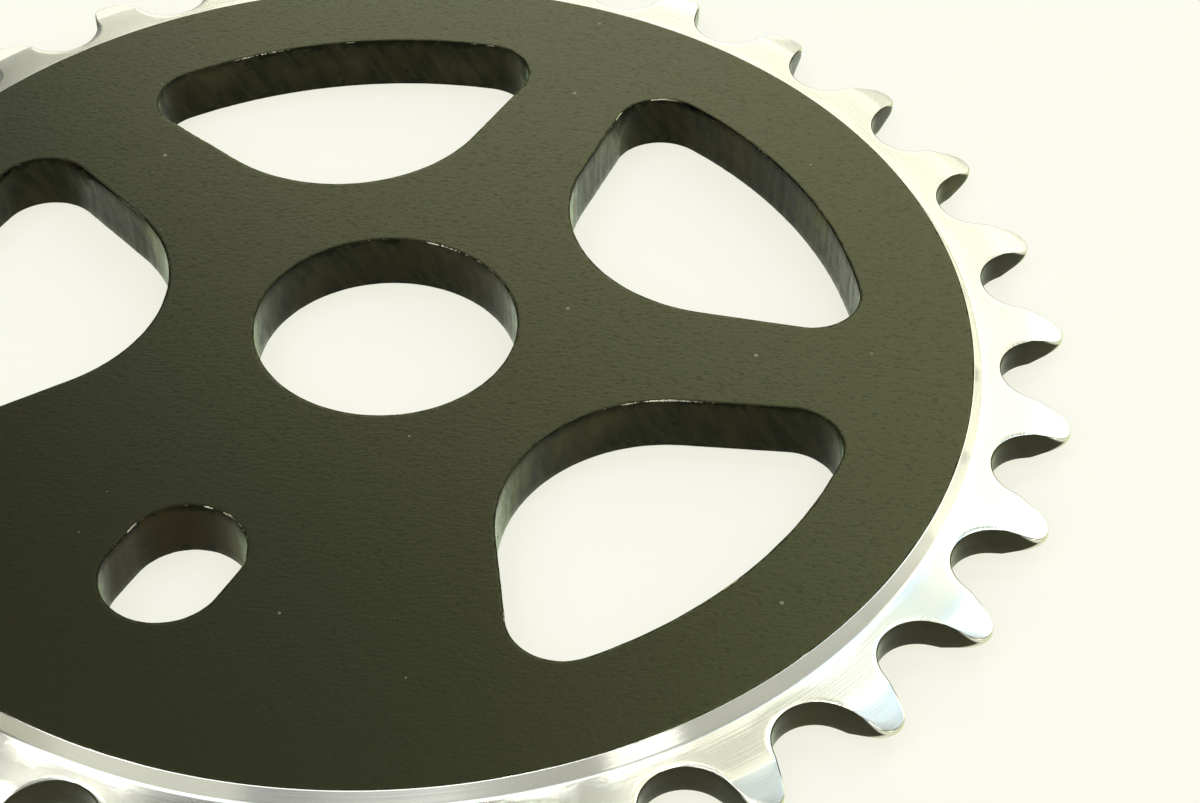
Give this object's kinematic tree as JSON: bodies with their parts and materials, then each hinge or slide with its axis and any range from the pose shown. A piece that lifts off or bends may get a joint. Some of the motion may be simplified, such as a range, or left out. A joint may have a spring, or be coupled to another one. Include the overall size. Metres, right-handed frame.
{
  "type": "bmx chainring",
  "caption": "One-piece bicycle chainring: flat windowed plate with a spindle bore, a drive-bolt slot and a thinner toothed band for a half-inch roller chain.",
  "frame": {"origin": "centre of the spindle bore, on the inner face that the part lies on", "axes": "+Z along the bore towards the outer face; the drive slot lies on -Y"},
  "size_m": [0.126, 0.1266, 0.0056],
  "materials": {
    "chainring": "matte black coat on the two faces, bare turned metal on the toothed band, bare cut metal in the holes"
  },
  "bodies": {
    "root": {"chainring": "chainring"}
  },
  "joints": []
}
